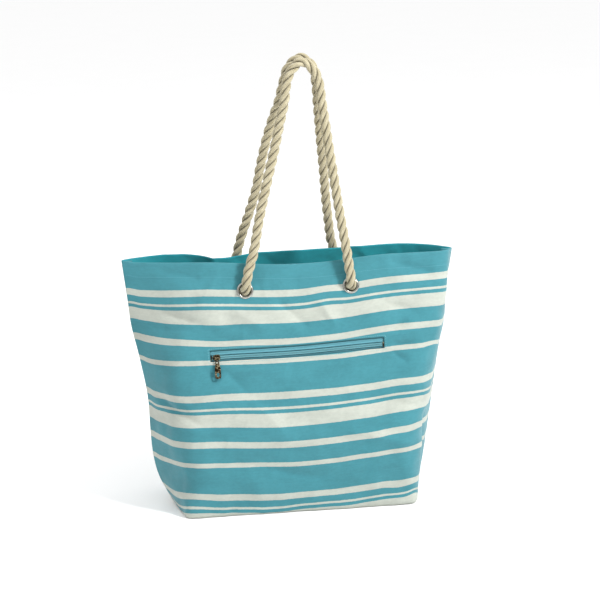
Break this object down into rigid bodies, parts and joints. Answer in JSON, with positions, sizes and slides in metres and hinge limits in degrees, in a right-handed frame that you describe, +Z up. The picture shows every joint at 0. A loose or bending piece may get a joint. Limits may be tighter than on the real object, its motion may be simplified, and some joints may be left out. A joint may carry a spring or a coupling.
{
  "type": "beach bag",
  "caption": "Open-topped striped canvas tote with a boxed base, a front zip pocket, metal eyelets and twisted rope handles that swing down on either side.",
  "frame": {"origin": "on the ground under the middle of the bag's base", "axes": "+Z up, -Y out of the front panel with the zip pocket, X along the mouth from the zip's closed end (-X) to its open end (+X)"},
  "size_m": [0.5057, 0.174, 0.685],
  "materials": {
    "canvas": "yarn-dyed plain-weave cotton canvas in uneven teal and cream cross stripes, matt",
    "seam_binding": "folded cotton tape over the raw seams, matt",
    "zip_tape": "woven polyester tape dyed to match the canvas",
    "zip_coil": "moulded polyester coil dyed to match the canvas",
    "zip_metal": "dull antique brass, lightly worn",
    "pocket_lining": "light plain cotton lining",
    "eyelet_metal": "rolled nickel-plated sheet with fine scratches",
    "rope": "three-strand twisted cotton rope, soft and matt"
  },
  "bodies": {
    "bag": {"front_panel": "canvas", "back_panel": "canvas", "front_hem_facing": "canvas", "back_hem_facing": "canvas", "left_seam_binding": "seam_binding", "right_seam_binding": "seam_binding", "left_corner_binding": "seam_binding", "right_corner_binding": "seam_binding", "base_seam_binding": "seam_binding", "zip_window_welt": "canvas", "zip_tape_upper": "zip_tape", "zip_tape_lower": "zip_tape", "zip_coil_upper": "zip_coil", "zip_coil_lower": "zip_coil", "zip_top_stop": "zip_metal", "zip_bottom_stop": "zip_metal", "pocket_bag": "pocket_lining", "front_left_eyelet": "eyelet_metal", "front_left_washer": "eyelet_metal", "front_left_rope_end": "rope", "front_right_eyelet": "eyelet_metal", "front_right_washer": "eyelet_metal", "front_right_rope_end": "rope", "back_left_eyelet": "eyelet_metal", "back_left_washer": "eyelet_metal", "back_left_rope_end": "rope", "back_right_eyelet": "eyelet_metal", "back_right_washer": "eyelet_metal", "back_right_rope_end": "rope"},
    "front_handle": {"front_rope_handle": "rope"},
    "back_handle": {"back_rope_handle": "rope"},
    "zip_runner": {"zip_slider": "zip_metal"},
    "zip_tab": {"zip_link": "zip_metal", "zip_pull": "zip_metal"}
  },
  "joints": [
    {"name": "front_handle_swing", "type": "hinge", "parent": "bag", "child": "front_handle", "pos_m": [0.0075, -0.0502, 0.34207], "axis": [1, 0, 0], "range_deg": [0, 165]},
    {"name": "back_handle_swing", "type": "hinge", "parent": "bag", "child": "back_handle", "pos_m": [0.0075, 0.06343, 0.34092], "axis": [-1, 0, 0], "range_deg": [0, 165]},
    {"name": "zip_slide", "type": "slide", "parent": "bag", "child": "zip_runner", "axis": [0.9997, 0.005, 0.0255], "range_m": [0, 0.24]},
    {"name": "zip_tab_lift", "type": "hinge", "parent": "zip_runner", "child": "zip_tab", "pos_m": [-0.12096, -0.06798, 0.24468], "axis": [-0.9997, -0.005, -0.0255], "range_deg": [0, 150]}
  ]
}
